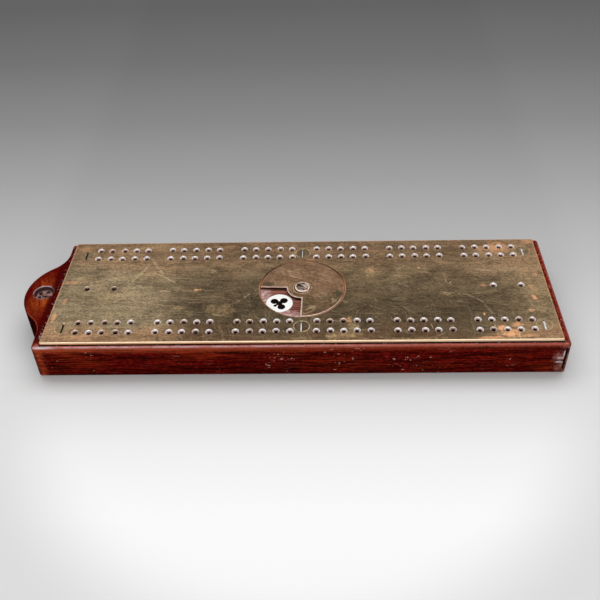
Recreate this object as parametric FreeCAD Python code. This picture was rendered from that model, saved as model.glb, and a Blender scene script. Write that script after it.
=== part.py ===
import FreeCAD, Part

import math
import os

# Cribbage box with a drawer.  Millimetres, +Z up.  The origin is on the underside, straight
# below the pivot of the suit indicator.  +X runs to the drawer end, -X to the handle.

Vec = FreeCAD.Vector
UP = Vec(0, 0, 1)
MIDDLE = Vec(0, 0, 0)

# Brass top plate.
plate_length = 242.0
plate_width = 76.2
plate_thick = 1.6
plate_corner_radius = 0.9
plate_end_skew = 1.7
plate_edge_round = 0.5

# Mahogany case: its borders round the plate, its height and its softened edges.
side_border = 1.4
handle_end_border = 4.3
handle_end_step = 1.4
drawer_end_border = 3.2
case_height = 16.9
base_thick = 2.0
upright_edge_round = 1.6
top_edge_round = 1.2
bottom_edge_round = 0.8

# Handle and the hole that it hangs by.
handle_reach = 14.3
handle_tip_radius = 24.8
handle_neck_radius = 15.0
hang_hole_radius = 4.7
hang_hole_reach = 4.8
hang_hole_round = 0.7

# Peg holes: four rows of six groups, and two game holes at each end.
hole_pitch = 6.35
holes_in_group = 5
groups_in_row = 6
group_gap = 12.7
inner_row_distance = 24.5
outer_row_distance = 31.25
pattern_shift_x = 0.75
pattern_shift_y = 0.5
game_hole_x = 94.6
game_hole_gap = 13.6
game_hole_shift_y = 1.0
peg_hole_radius = 0.95
peg_hole_mouth_radius = 1.85
peg_hole_depth = 6.4
drill_wander = 0.16

# Countersunk wood screws that hold the plate, between the two rows of each side.
screw_end_inset = 7.3
screw_head_radius = 3.55
screw_shank_radius = 1.75
screw_length = 12.7
screw_slot_width = 0.9
screw_slot_depth = 0.8
screw_gap = 0.05

# Suit indicator: a disc set flush in the plate, with a quarter window, on a shouldered screw
# whose head stands in a shallow recess.
disc_radius = 20.8
disc_gap = 0.2
disc_bore_bevel = 0.5
disc_edge_bevel = 0.35
window_hub_radius = 7.7
window_turn = -2.2
washer_radius = 6.0
washer_thick = 0.25
spin_gap = 0.05
pivot_clearance = 0.05
pivot_shoulder_radius = 2.0
pivot_head_radius = 3.7
pivot_head_height = 1.2
pivot_head_round = 0.4
pivot_recess_radius = 4.2
pivot_recess_depth = 0.5
pivot_thread_radius = 1.5
pivot_thread_length = 9.0
pivot_slot_turn = -42.0

# Suit markers: bone roundels let into the wood, each with an inlaid pip.
marker_radius = 6.5
marker_ring_radius = 14.7
marker_turn = -4.3
marker_thick = 2.0
marker_gap = 0.03
pip_thick = 0.6
club_lobe_radius = 1.9
club_lobe_reach = 2.85
club_lobe_turn = 110.0
club_middle_radius = 1.5
heart_lobe_radius = 1.95
heart_lobe_x = 1.75
heart_drop = 5.2
spade_lobe_radius = 1.7
spade_lobe_x = 1.6
spade_drop = 4.9
diamond_half_width = 3.0
diamond_half_height = 4.1
stem_length = 3.4
stem_waist = 0.9
stem_foot = 1.6

# Drawer: a full-width facing held between two lips, and a narrower tray behind it.
lip_thick = 4.4
facing_thick = 1.2
facing_recess = 0.2
facing_round = 0.9
facing_gap = 0.25
seam_gap = 0.5
cavity_half_width = 22.5
cavity_height = 7.5
tray_length = 90.0
tray_wall = 1.6
tray_floor = 1.2
tray_gap = 0.25
tray_rest_gap = 0.1
cavity_end_gap = 0.5

# Fingernail nicks in the long sides, open to the seam behind the facing.
nick_length = 3.2
nick_height = 0.9
nick_depth = 1.2
nick_tilt = 14.0

# Brass pins through the base board and through the tray floor.
base_pin_radius = 0.8
base_pin_length = 9.0
base_pin_x = 70.0
base_pin_inset = 6.5
tray_pin_radius = 0.4
tray_pin_length = 3.6
pin_gap = 0.02
pin_recess = 0.1

# Turned pegs, lying loose on the tray's floor with their heads to alternate ends.
peg_length = 36.0
peg_head_radius = 2.1
peg_collar_radius = 1.5
peg_collar_thick = 0.8
peg_neck_length = 0.9
peg_tip_bevel = 0.3
peg_clearance = 0.1
peg_spacing = 7.0
peg_back_gap = 1.5
peg_lift = 0.02
peg_skew = 2.0

# Levels and places that follow from the sizes above.
wood_top = base_thick + case_height
plate_top = wood_top + plate_thick
side_y = plate_width / 2 + side_border
drawer_end_x = plate_length / 2 + drawer_end_border
handle_end_x = -plate_length / 2 - handle_end_border
handle_tip_x = handle_end_x - handle_reach
handle_centre_x = handle_tip_x + handle_tip_radius
hang_hole_x = handle_end_x - hang_hole_reach
screw_x = plate_length / 2 - screw_end_inset
screw_y = (inner_row_distance + outer_row_distance) / 2
group_pitch = (holes_in_group - 1) * hole_pitch + group_gap
disc_bottom = wood_top + washer_thick + spin_gap
pivot_recess_floor = plate_top - pivot_recess_depth
marker_angles = {"diamond": 315, "heart": 45, "spade": 135, "club": 225}
lip_level = wood_top - lip_thick
facing_front_x = drawer_end_x - facing_recess
facing_back_x = facing_front_x - facing_thick
rebate_x = facing_back_x - seam_gap
nick_level = (base_thick + lip_level) / 2
cavity_roof = base_thick + cavity_height
tray_back_x = facing_back_x - tray_length
tray_bottom = base_thick + tray_rest_gap
tray_floor_top = tray_bottom + tray_floor
tray_top = cavity_roof - tray_gap
tray_half_width = cavity_half_width - tray_gap
peg_names = ("bone_peg_a", "ebony_peg_a", "bone_peg_b", "ebony_peg_b")


def box(low_x, high_x, low_y, high_y, low_z, high_z):
    corner = Vec(low_x, low_y, low_z)
    return Part.makeBox(high_x - low_x, high_y - low_y, high_z - low_z, corner)


def post(x, y, low_z, high_z, radius):
    return Part.makeCylinder(radius, high_z - low_z, Vec(x, y, low_z))


def funnel(x, y, high_z, high_radius, low_radius):
    # A 45 degree countersink that narrows downwards from its mouth at high_z.
    depth = high_radius - low_radius
    return Part.makeCone(low_radius, high_radius, depth, Vec(x, y, high_z - depth))


def line(start, end):
    return Part.LineSegment(Vec(*start, 0), Vec(*end, 0)).toShape()


def arc(start, through, end):
    return Part.Arc(Vec(*start, 0), Vec(*through, 0), Vec(*end, 0)).toShape()


def on_circle(centre, radius, degrees):
    turn = math.radians(degrees)
    return (centre[0] + radius * math.cos(turn), centre[1] + radius * math.sin(turn))


def prism(edges, low_z, high_z):
    face = Part.Face(Part.Wire(Part.sortEdges(edges)[0]))
    face.translate(Vec(0, 0, low_z))
    return face.extrude(Vec(0, 0, high_z - low_z))


def flat_edges(shape, level):
    # The edges of a shape that lie wholly at one level.
    found = []
    for edge in shape.Edges:
        bounds = edge.BoundBox
        if abs(bounds.ZMin - level) < 1e-4 and abs(bounds.ZMax - level) < 1e-4:
            found.append(edge)
    return found


def upright_edges(shape, least_x):
    # The straight vertical edges of a shape that lie beyond least_x.
    found = []
    for edge in shape.Edges:
        bounds = edge.BoundBox
        upright = bounds.XLength < 1e-4 and bounds.YLength < 1e-4
        if upright and bounds.XMin > least_x:
            found.append(edge)
    return found


def half_outline(side):
    # One half of the wood's plan, from the middle of the drawer end to the handle's tip.
    # The neck is an arc that touches both the end face and the round tip, and the end
    # face stands further out on the near half than on the far half.
    radius = upright_edge_round
    end_x = handle_end_x + side * handle_end_step
    neck_x = end_x - handle_neck_radius
    reach = handle_tip_radius + handle_neck_radius
    neck_y = math.sqrt(reach ** 2 - (neck_x - handle_centre_x) ** 2)
    bearing = math.degrees(math.atan2(neck_y, neck_x - handle_centre_x))
    tip_centre = (handle_centre_x, 0.0)
    neck_centre = (neck_x, neck_y)
    near = (drawer_end_x - radius, side_y - radius)
    far = (end_x + radius, side_y - radius)
    touch = on_circle(tip_centre, handle_tip_radius, bearing)
    neck_middle = on_circle(neck_centre, handle_neck_radius, (bearing - 180) / 2)
    tip_middle = on_circle(tip_centre, handle_tip_radius, (bearing + 180) / 2)
    edges = [
        line((drawer_end_x, 0), (drawer_end_x, near[1])),
        arc((drawer_end_x, near[1]), on_circle(near, radius, 45), (near[0], side_y)),
        line((near[0], side_y), (far[0], side_y)),
        arc((far[0], side_y), on_circle(far, radius, 135), (end_x, far[1])),
        line((end_x, far[1]), (end_x, neck_y)),
        arc((end_x, neck_y), neck_middle, touch),
        arc(touch, tip_middle, (handle_tip_x, 0)),
    ]
    if side < 0:
        edges = [edge.mirror(MIDDLE, Vec(0, 1, 0)) for edge in edges]
    return edges


def wood_prism(low_z, high_z):
    return prism(half_outline(1) + half_outline(-1), low_z, high_z)


def hang_hole():
    # A plain bore whose two rims are rounded over.
    hole = post(hang_hole_x, 0, -1, wood_top + 1, hang_hole_radius)
    for level, outward in ((0, -1), (wood_top, 1)):
        centre = Vec(hang_hole_x, 0, level)
        mouth_radius = hang_hole_radius + hang_hole_round
        mouth = Part.makeCylinder(mouth_radius, 2 * hang_hole_round, centre, Vec(0, 0, outward))
        mouth.translate(Vec(0, 0, -outward * hang_hole_round))
        lip = Part.makeTorus(mouth_radius, hang_hole_round, centre, UP)
        lip.translate(Vec(0, 0, -outward * hang_hole_round))
        hole = hole.fuse(mouth.cut(lip))
    return hole


def wander(row, place):
    # The small error of a hand drill, the same each time for the same hole.
    step = place + groups_in_row * holes_in_group * row
    return Vec(drill_wander * math.sin(2.4 * step), drill_wander * math.cos(3.9 * step), 0)


def peg_hole_places():
    places = []
    first_group = -(groups_in_row - 1) / 2 * group_pitch
    first_hole = -(holes_in_group - 1) / 2 * hole_pitch
    rows = (-outer_row_distance, -inner_row_distance, inner_row_distance, outer_row_distance)
    for row, y in enumerate(rows):
        for place in range(groups_in_row * holes_in_group):
            group, hole = divmod(place, holes_in_group)
            x = first_group + group * group_pitch + first_hole + hole * hole_pitch
            shift = Vec(pattern_shift_x, pattern_shift_y, 0)
            places.append(Vec(x, y, 0) + shift + wander(row, place))
    for end in (-1, 1):
        for x in (game_hole_x, game_hole_x + game_hole_gap):
            places.append(Vec(end * x, game_hole_shift_y, 0))
    return places


def screw_places():
    return [Vec(x, y, 0) for x in (-screw_x, 0, screw_x) for y in (-screw_y, screw_y)]


def marker_place(suit):
    x, y = on_circle((0, 0), marker_ring_radius, marker_angles[suit] + marker_turn)
    return Vec(x, y, 0)


def base_pin_places():
    y = side_y - base_pin_inset
    columns = (-1.5 * base_pin_x, -0.5 * base_pin_x, 0.5 * base_pin_x, 1.5 * base_pin_x)
    return [Vec(x, side * y, 0) for x in columns for side in (-1, 1)]


def tray_pin_places():
    y = tray_half_width - tray_wall / 2
    first = tray_back_x + tray_length / 6
    columns = (first, first + tray_length / 3, first + 2 * tray_length / 3)
    return [Vec(x, side * y, 0) for x in columns for side in (-1, 1)]


def screw_hole(place):
    low = plate_top - screw_length
    shank = post(place.x, place.y, low, plate_top, screw_shank_radius + screw_gap)
    head = funnel(place.x, place.y, plate_top, screw_head_radius, screw_shank_radius)
    return shank.fuse(head)


def nail_nick(side):
    # A slot centred on the seam, so half of it is cut in the case and half falls in the gap.
    slot = box(-nick_length, nick_length, -nick_depth, nick_depth,
               -nick_height / 2, nick_height / 2)
    slot.rotate(MIDDLE, Vec(0, 1, 0), -nick_tilt)
    slot.translate(Vec(rebate_x, side * side_y, nick_level))
    return slot


def make_case_body():
    body = wood_prism(base_thick, wood_top)
    body = body.makeFillet(top_edge_round, flat_edges(body, wood_top))
    past = drawer_end_x + 1
    rebate = box(rebate_x, past, -side_y - 1, side_y + 1, base_thick - 1, lip_level)
    cavity = box(tray_back_x - cavity_end_gap, past, -cavity_half_width, cavity_half_width,
                 base_thick - 1, cavity_roof)
    body = body.cut(rebate).cut(cavity).cut(hang_hole())
    low = wood_top - peg_hole_depth
    tools = [post(p.x, p.y, low, wood_top + 1, peg_hole_radius) for p in peg_hole_places()]
    tools += [screw_hole(place) for place in screw_places()]
    tools += [nail_nick(side) for side in (-1, 1)]
    thread_radius = pivot_thread_radius + screw_gap
    tools.append(post(0, 0, wood_top - pivot_thread_length, wood_top + 1, thread_radius))
    for suit in marker_angles:
        place = marker_place(suit)
        radius = marker_radius + marker_gap
        tools.append(post(place.x, place.y, wood_top - marker_thick, wood_top + 1, radius))
    pin_top = pin_recess + base_pin_length
    for place in base_pin_places():
        tools.append(post(place.x, place.y, 0, pin_top, base_pin_radius + pin_gap))
    return body.cut(Part.makeCompound(tools))


def make_base_board():
    board = wood_prism(0, base_thick)
    board = board.makeFillet(bottom_edge_round, flat_edges(board, 0))
    tools = [hang_hole()]
    for place in base_pin_places():
        tools.append(post(place.x, place.y, -1, base_thick + 1, base_pin_radius + pin_gap))
    return board.cut(Part.makeCompound(tools))


def make_base_pins():
    top = pin_recess + base_pin_length
    return [post(p.x, p.y, pin_recess, top, base_pin_radius) for p in base_pin_places()]


def make_top_plate():
    # The handle end of the plate is cut a little out of square.
    end, side = plate_length / 2, plate_width / 2
    corners = [(-end - plate_end_skew, -side), (end, -side), (end, side), (-end, side)]
    outline = [line(corners[i - 1], corners[i]) for i in range(len(corners))]
    plate = prism(outline, wood_top, plate_top)
    plate = plate.makeFillet(plate_corner_radius, upright_edges(plate, -plate_length))
    plate = plate.makeFillet(plate_edge_round, flat_edges(plate, plate_top))
    bore_radius = disc_radius + disc_gap
    tools = [post(0, 0, wood_top - 1, plate_top + 1, bore_radius)]
    tools.append(funnel(0, 0, plate_top, bore_radius + disc_bore_bevel, bore_radius))
    for p in peg_hole_places():
        hole = post(p.x, p.y, wood_top - 1, plate_top + 1, peg_hole_radius)
        tools.append(hole.fuse(funnel(p.x, p.y, plate_top, peg_hole_mouth_radius, peg_hole_radius)))
    tools += [screw_hole(place) for place in screw_places()]
    return plate.cut(Part.makeCompound(tools))


def make_plate_screws():
    screws = []
    for place in screw_places():
        low = plate_top - screw_length
        tip_length = 2 * screw_shank_radius
        shank = post(place.x, place.y, low + tip_length, plate_top, screw_shank_radius)
        tip_base = Vec(place.x, place.y, low)
        tip = Part.makeCone(screw_shank_radius / 4, screw_shank_radius, tip_length, tip_base)
        head = funnel(place.x, place.y, plate_top, screw_head_radius, screw_shank_radius)
        slot = box(place.x - screw_slot_width / 2, place.x + screw_slot_width / 2,
                   place.y - screw_head_radius, place.y + screw_head_radius,
                   plate_top - screw_slot_depth, plate_top + 1)
        screws.append(shank.fuse([tip, head]).cut(slot).removeSplitter())
    return screws


def make_indicator_disc():
    disc = post(0, 0, disc_bottom, plate_top, disc_radius)
    disc = disc.makeChamfer(disc_edge_bevel, flat_edges(disc, plate_top))
    # The window is the quarter between -X and -Y, outside the hub, a little turned at rest.
    window = Part.makeCylinder(2 * disc_radius, 2 * plate_top, MIDDLE, UP, 90)
    window.rotate(MIDDLE, UP, 180 + window_turn)
    window = window.cut(post(0, 0, 0, 2 * plate_top, window_hub_radius))
    bore = post(0, 0, 0, 2 * plate_top, pivot_shoulder_radius + pivot_clearance)
    recess = post(0, 0, pivot_recess_floor, 2 * plate_top, pivot_recess_radius)
    return disc.cut(window).cut(bore).cut(recess)


def make_pivot_washer():
    ring = post(0, 0, wood_top, wood_top + washer_thick, washer_radius)
    return ring.cut(post(0, 0, 0, plate_top, pivot_shoulder_radius + pivot_clearance))


def make_pivot_screw():
    head_bottom = pivot_recess_floor + spin_gap
    head_top = head_bottom + pivot_head_height
    head = post(0, 0, head_bottom, head_top, pivot_head_radius)
    head = head.makeFillet(pivot_head_round, flat_edges(head, head_top))
    shoulder = post(0, 0, wood_top, head_bottom, pivot_shoulder_radius)
    thread = post(0, 0, wood_top - pivot_thread_length, wood_top, pivot_thread_radius)
    slot = box(-pivot_head_radius, pivot_head_radius, -screw_slot_width / 2,
               screw_slot_width / 2, head_top - screw_slot_depth, head_top + 1)
    slot.rotate(MIDDLE, UP, pivot_slot_turn)
    return head.fuse([shoulder, thread]).cut(slot)


def polygon(corners):
    # A thin flat plate of the pips' thickness, standing on z = 0.
    edges = [line(corners[i - 1], corners[i]) for i in range(len(corners))]
    return prism(edges, 0, pip_thick)


def lobe(x, y, radius):
    return post(x, y, 0, pip_thick, radius)


def stem():
    waist = stem_waist / 2
    foot = stem_foot / 2
    return polygon([(-waist, 0), (-foot, -stem_length), (foot, -stem_length), (waist, 0)])


def leaf(lobe_radius, lobe_x, drop):
    # Two lobes with their centres on y = 0, and straight sides from them to a point below.
    bearing = math.degrees(math.atan2(-drop, -lobe_x))
    opening = math.degrees(math.acos(lobe_radius / math.hypot(lobe_x, drop)))
    x, y = on_circle((lobe_x, 0), lobe_radius, bearing + opening)
    blade = polygon([(0, -drop), (x, y), (lobe_x, 0), (-lobe_x, 0), (-x, y)])
    return blade.fuse([lobe(-lobe_x, 0, lobe_radius), lobe(lobe_x, 0, lobe_radius)])


def club_shape():
    sides = [on_circle((0, 0), club_lobe_reach, 90 + turn) for turn in (-club_lobe_turn, club_lobe_turn)]
    lobes = [lobe(x, y, club_lobe_radius) for x, y in sides]
    lobes.append(lobe(0, club_lobe_reach, club_lobe_radius))
    return lobe(0, 0, club_middle_radius).fuse(lobes + [stem()])


def diamond_shape():
    across, along = diamond_half_width, diamond_half_height
    return polygon([(0, along), (across, 0), (0, -along), (-across, 0)])


def heart_shape():
    shape = leaf(heart_lobe_radius, heart_lobe_x, heart_drop)
    shape.translate(Vec(0, (heart_drop - heart_lobe_radius) / 2, 0))
    return shape


def spade_shape():
    shape = leaf(spade_lobe_radius, spade_lobe_x, spade_drop)
    shape.rotate(MIDDLE, UP, 180)
    shape.translate(Vec(0, -spade_lobe_radius / 2, 0))
    return shape.fuse(stem())


def make_pip(suit):
    shapes = {"club": club_shape, "diamond": diamond_shape, "heart": heart_shape, "spade": spade_shape}
    pip = shapes[suit]().removeSplitter()
    # The pip's top points to the pivot, and its face is flush with the roundel's.
    pip.rotate(MIDDLE, UP, marker_angles[suit] + marker_turn + 90)
    pip.translate(marker_place(suit) + Vec(0, 0, wood_top - pip_thick))
    return pip


def make_marker(suit):
    place = marker_place(suit)
    roundel = post(place.x, place.y, wood_top - marker_thick, wood_top, marker_radius)
    return roundel.cut(make_pip(suit))


def make_drawer_facing():
    facing = box(facing_back_x, facing_front_x, -side_y, side_y,
                 base_thick + facing_gap, lip_level - facing_gap)
    middle_x = (facing_back_x + facing_front_x) / 2
    return facing.makeFillet(facing_round, upright_edges(facing, middle_x))


def make_tray_end(low_x):
    return box(low_x, low_x + tray_wall, -tray_half_width, tray_half_width, tray_floor_top, tray_top)


def make_tray_side(side):
    wall = box(tray_back_x + tray_wall, facing_back_x - tray_wall,
               tray_half_width - tray_wall, tray_half_width, tray_floor_top, tray_top)
    return wall if side > 0 else wall.mirror(MIDDLE, Vec(0, 1, 0))


def make_tray_floor():
    floor = box(tray_back_x, facing_back_x, -tray_half_width, tray_half_width,
                tray_bottom, tray_floor_top)
    radius = tray_pin_radius + pin_gap
    pins = [post(p.x, p.y, 0, plate_top, radius) for p in tray_pin_places()]
    return floor.cut(Part.makeCompound(pins))


def make_tray_pins():
    low = tray_bottom + pin_recess
    return [post(p.x, p.y, low, low + tray_pin_length, tray_pin_radius) for p in tray_pin_places()]


def drill_for_pins(wall):
    low = tray_bottom + pin_recess
    radius = tray_pin_radius + pin_gap
    holes = [post(p.x, p.y, 0, low + tray_pin_length, radius) for p in tray_pin_places()]
    return wall.cut(Part.makeCompound(holes))


def turned_peg():
    # The peg's half profile turned about +X, with the centre of its round head at the origin.
    shank_radius = peg_hole_radius - peg_clearance
    reach = peg_length - peg_head_radius
    neck_start = math.sqrt(peg_head_radius ** 2 - shank_radius ** 2)
    collar_start = peg_head_radius + peg_neck_length
    collar_end = collar_start + peg_collar_thick
    corners = [
        (neck_start, shank_radius),
        (collar_start, shank_radius),
        (collar_start, peg_collar_radius),
        (collar_end, peg_collar_radius),
        (collar_end, shank_radius),
        (reach - peg_tip_bevel, shank_radius),
        (reach, shank_radius - peg_tip_bevel),
        (reach, 0),
        (-peg_head_radius, 0),
    ]
    edges = [arc((-peg_head_radius, 0), (0, peg_head_radius), corners[0])]
    edges += [line(start, end) for start, end in zip(corners, corners[1:])]
    return Part.Face(Part.Wire(edges)).revolve(MIDDLE, Vec(1, 0, 0), 360)


def make_peg(index):
    # A peg lies down until both its head and its tip touch the tray's floor.
    peg = turned_peg()
    drop = peg_head_radius - (peg_hole_radius - peg_clearance)
    lean = math.asin(drop / (peg_length - peg_head_radius - peg_tip_bevel))
    peg.rotate(MIDDLE, Vec(0, 1, 0), math.degrees(lean))
    low_x = tray_back_x + tray_wall + peg_back_gap + peg_head_radius
    high_x = low_x + peg_length - 2 * peg_head_radius
    y = (index - (len(peg_names) - 1) / 2) * peg_spacing
    reversed_end = index % 2
    peg.rotate(MIDDLE, UP, peg_skew + 180 * reversed_end)
    rest_z = tray_floor_top + peg_head_radius + peg_lift
    peg.translate(Vec(high_x if reversed_end else low_x, y, rest_z))
    return peg


def save(name, solids):
    shape = solids if isinstance(solids, Part.Shape) else Part.makeCompound(solids)
    shape.exportStep("parts/" + name + ".step")


os.makedirs("parts", exist_ok=True)
save("case_body", make_case_body())
save("base_board", make_base_board())
save("base_pins", make_base_pins())
save("top_plate", make_top_plate())
save("plate_screws", make_plate_screws())
save("indicator_disc", make_indicator_disc())
save("pivot_washer", make_pivot_washer())
save("pivot_screw", make_pivot_screw())
for suit in marker_angles:
    save(suit + "_marker", make_marker(suit))
    save(suit + "_pip", make_pip(suit))
save("drawer_facing", make_drawer_facing())
save("drawer_front", make_tray_end(facing_back_x - tray_wall))
save("drawer_back", make_tray_end(tray_back_x))
save("drawer_side_left", drill_for_pins(make_tray_side(1)))
save("drawer_side_right", drill_for_pins(make_tray_side(-1)))
save("drawer_floor", make_tray_floor())
save("drawer_pins", make_tray_pins())
for index, name in enumerate(peg_names):
    save(name, make_peg(index))
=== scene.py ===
import math
from types import SimpleNamespace
import bpy
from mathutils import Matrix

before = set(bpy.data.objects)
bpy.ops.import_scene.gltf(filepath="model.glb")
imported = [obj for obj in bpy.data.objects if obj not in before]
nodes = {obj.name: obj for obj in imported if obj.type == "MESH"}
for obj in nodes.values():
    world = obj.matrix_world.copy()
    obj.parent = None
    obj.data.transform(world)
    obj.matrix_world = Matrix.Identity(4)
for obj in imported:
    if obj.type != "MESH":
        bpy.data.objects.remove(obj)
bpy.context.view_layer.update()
mm = 0.001
bpy.ops.object.select_all(action="DESELECT")


# small helpers for building node trees
def isSocket(value):
    return isinstance(value, bpy.types.NodeSocket)


def feed(node, label, value):
    # links a socket or sets a constant
    if isSocket(value):
        node.id_data.links.new(value, node.inputs[label])
    else:
        node.inputs[label].default_value = value


def place(kind, inputs, tree=None, **settings):
    # a new node joins the tree of the sockets that feed it
    tree = tree or next(value.id_data for value in inputs.values() if isSocket(value))
    if isinstance(kind, str):
        made = tree.nodes.new("ShaderNode" + kind)
    else:
        made = tree.nodes.new("ShaderNodeGroup")
        made.node_tree = kind
    for key, value in settings.items():
        setattr(made, key, value)
    for label, value in inputs.items():
        feed(made, label, value)
    return made


def effect(group, point, **inputs):
    # the mask that a shared effect puts out
    return place(group, {"Coordinates": point, **inputs}).outputs[0]


def calc(operation, *values, clamp=False):
    return place("Math", dict(enumerate(values)), operation=operation, use_clamp=clamp).outputs[0]


def chain(operation, first, *others):
    for other in others:
        first = calc(operation, first, other)
    return first


def times(*values):
    return chain("MULTIPLY", *values)


def plus(*values):
    return chain("ADD", *values)


def strongest(*masks):
    return chain("MAXIMUM", *masks)


def minus(first, second):
    return calc("SUBTRACT", first, second)


def inverse(mask):
    return minus(1, mask)


def apart(first, second):
    return calc("ABSOLUTE", minus(first, second))


def vector(operation, *values):
    made = place("VectorMath", dict(enumerate(values)), operation=operation)
    return made.outputs["Value" if operation in ("LENGTH", "DOT_PRODUCT", "DISTANCE") else "Vector"]


def scaled(offset, factor):
    return place("VectorMath", {0: offset, "Scale": factor}, operation="SCALE").outputs["Vector"]


def flatten(point):
    return vector("MULTIPLY", point, (1, 1, 0))


def turn(point, angle):
    return place("VectorRotate", {"Vector": point, "Angle": angle},
        rotation_type="Z_AXIS").outputs[0]


def stretch(point, along, across):
    scale = place("CombineXYZ", {0: along, 1: across, 2: across}).outputs[0]
    return vector("MULTIPLY", point, scale)


def split(point):
    parts = place("SeparateXYZ", {0: point}).outputs
    return parts[0], parts[1], parts[2]


def noiseAt(point, scale, detail, roughness=0.5, **more):
    # both outputs of a noise, Fac and Color
    inputs = {"Vector": point, "Scale": scale, "Detail": detail, "Roughness": roughness, **more}
    return place("TexNoise", inputs).outputs


def wobbleNoise(point, scale):
    # from -0.5 to 0.5, to make borders ragged
    return minus(noiseAt(point, scale, 4, 0.7)["Fac"], 0.5)


def shake(point, scale, detail, roughness, reach):
    # a random offset in every direction
    noise = noiseAt(point, scale, detail, roughness)["Color"]
    return scaled(vector("SUBTRACT", noise, (0.5, 0.5, 0.5)), reach)


def fade(value, low, high, bottom=0, top=1):
    # an eased step from bottom to top as the value goes from low to high
    return place("MapRange", {"Value": value, "From Min": low, "From Max": high, "To Min": bottom,
        "To Max": top}, interpolation_type="SMOOTHSTEP").outputs["Result"]


def fadeMm(value, low, high, bottom=0, top=1):
    # the same between two places in mm
    return fade(value, low * mm, high * mm, bottom, top)


def spread(mask, bottom, top):
    # the same for a mask from 0 to 1
    return fade(mask, 0, 1, bottom, top)


def rgba(colour):
    return (*colour, 1) if isinstance(colour, tuple) and len(colour) == 3 else colour


def mixColours(factor, first, second, mode="MIX"):
    return place("Mix", {0: factor, 6: rgba(first), 7: rgba(second)}, data_type="RGBA",
        blend_type=mode).outputs[2]


def paint(under, over, mask, share=1):
    # lays one colour over another where the mask is
    return mixColours(mask if share == 1 else times(mask, share), under, over)


def coat(piece, over, mask, share=1):
    # lays a colour, or the one of that name in the look, over the piece
    over = piece.look[over] if isinstance(over, str) else over
    piece.colour = paint(piece.colour, over, mask, share)


def greyColour(shade):
    return place("CombineColor", {0: shade, 1: shade, 2: shade}).outputs[0]


def tint(colour, shade):
    # multiplies a colour by a grey
    return mixColours(1, colour, greyColour(shade), "MULTIPLY")


def newGroup(name, outputs, **inputs):
    # an effect that takes a point and the inputs named here
    group = bpy.data.node_groups.new(name, "ShaderNodeTree")
    for label, value in {"Coordinates": (0, 0, 0), **inputs}.items():
        kind = "NodeSocketVector" if isinstance(value, tuple) else "NodeSocketFloat"
        group.interface.new_socket(name=label, in_out="INPUT", socket_type=kind).default_value = value
    for label in outputs:
        group.interface.new_socket(name=label, in_out="OUTPUT", socket_type="NodeSocketFloat")
    given = group.nodes.new("NodeGroupInput").outputs
    return group, given["Coordinates"], [given[label] for label in inputs]


def finishGroup(group, *values):
    for value, wanted in zip(values, group.nodes.new("NodeGroupOutput").inputs):
        group.links.new(value, wanted)
    return group


# shared effects: each one puts out masks from 0 to 1
def makeBrushedLines():
    group, point, (along, across) = newGroup("brushedLines", ["Lines"], Along=40, Across=2000)
    noise = noiseAt(stretch(point, along, across), 1, 3, 0.65)["Fac"]
    return finishGroup(group, fade(noise, 0.3, 0.7))


def makePatches():
    group, point, (size, longer, low, high) = newGroup("patches", ["Mask"], Size=0.02, Stretch=1,
        Low=0.4, High=0.6)
    across = calc("DIVIDE", 1, size)
    along = calc("DIVIDE", across, longer)
    noise = noiseAt(stretch(point, along, across), 1, 5, 0.62)["Fac"]
    return finishGroup(group, fade(noise, low, high))


def makeHairScratches():
    # long fine swaying lines; bare is how much of each line is missing
    group, point, (angle, along, across, width, bare) = newGroup("hairScratches", ["Mask"], Angle=0,
        Along=25, Across=220, Width=0.012, Bare=0.5)
    sway = scaled(noiseAt(point, 45, 1)["Color"], 4 * mm)
    turned = turn(vector("ADD", point, sway), angle)
    noise = noiseAt(stretch(turned, along, across), 1, 1, 0.4)["Fac"]
    line = calc("SUBTRACT", 1, calc("DIVIDE", apart(noise, 0.5), width), clamp=True)
    breaks = noiseAt(turned, 90, 2)["Fac"]
    return finishGroup(group, times(line, fade(breaks, bare, plus(bare, 0.12))))


def makeSpotAt():
    # a soft or ragged patch; its wobble is made once for each material
    group, point, (centre, reach, ragged, wobble) = newGroup("spotAt", ["Mask"],
        Centre=(0, 0, 0), Reach=(0.01, 0.01, 1), Ragged=0.8, Wobble=0)
    offset = vector("DIVIDE", vector("SUBTRACT", point, centre), reach)
    edge = plus(vector("LENGTH", offset), times(wobble, ragged, 3))
    return finishGroup(group, fade(edge, 1.1, 0.25))


def makeLineAt():
    # one scratch between two places in plan; the point comes in flat and already bent
    group, point, (start, end, width, breaks, ragged) = newGroup("lineAt", ["Mask"],
        Start=(0, 0, 0), End=(0.01, 0, 0), Width=0.0004, Breaks=0.5, Ragged=0.5)
    run = vector("SUBTRACT", end, start)
    reach = vector("SUBTRACT", point, start)
    share = calc("DIVIDE", vector("DOT_PRODUCT", reach, run), vector("DOT_PRODUCT", run, run),
        clamp=True)
    away = vector("LENGTH", vector("SUBTRACT", reach, scaled(run, share)))
    part = fade(breaks, minus(ragged, 0.08), plus(ragged, 0.08))
    return finishGroup(group, times(fade(away, width, 0), part))


def makeWipeRings():
    # faint arcs left by a polishing cloth round a centre
    group, point, (centre, spacing) = newGroup("wipeRings", ["Lines"], Centre=(0, 0, 0),
        Spacing=0.001)
    radius = vector("LENGTH", flatten(vector("SUBTRACT", point, centre)))
    radius = plus(radius, times(noiseAt(point, 60, 2)["Fac"], 7 * mm))
    rings = place("TexNoise", {"W": calc("DIVIDE", radius, spacing), "Scale": 1, "Detail": 3,
        "Roughness": 0.7}, noise_dimensions="1D").outputs["Fac"]
    parts = noiseAt(point, 75, 2)["Fac"]
    return finishGroup(group, times(fade(rings, 0.52, 0.72), fade(parts, 0.42, 0.62)))


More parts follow.
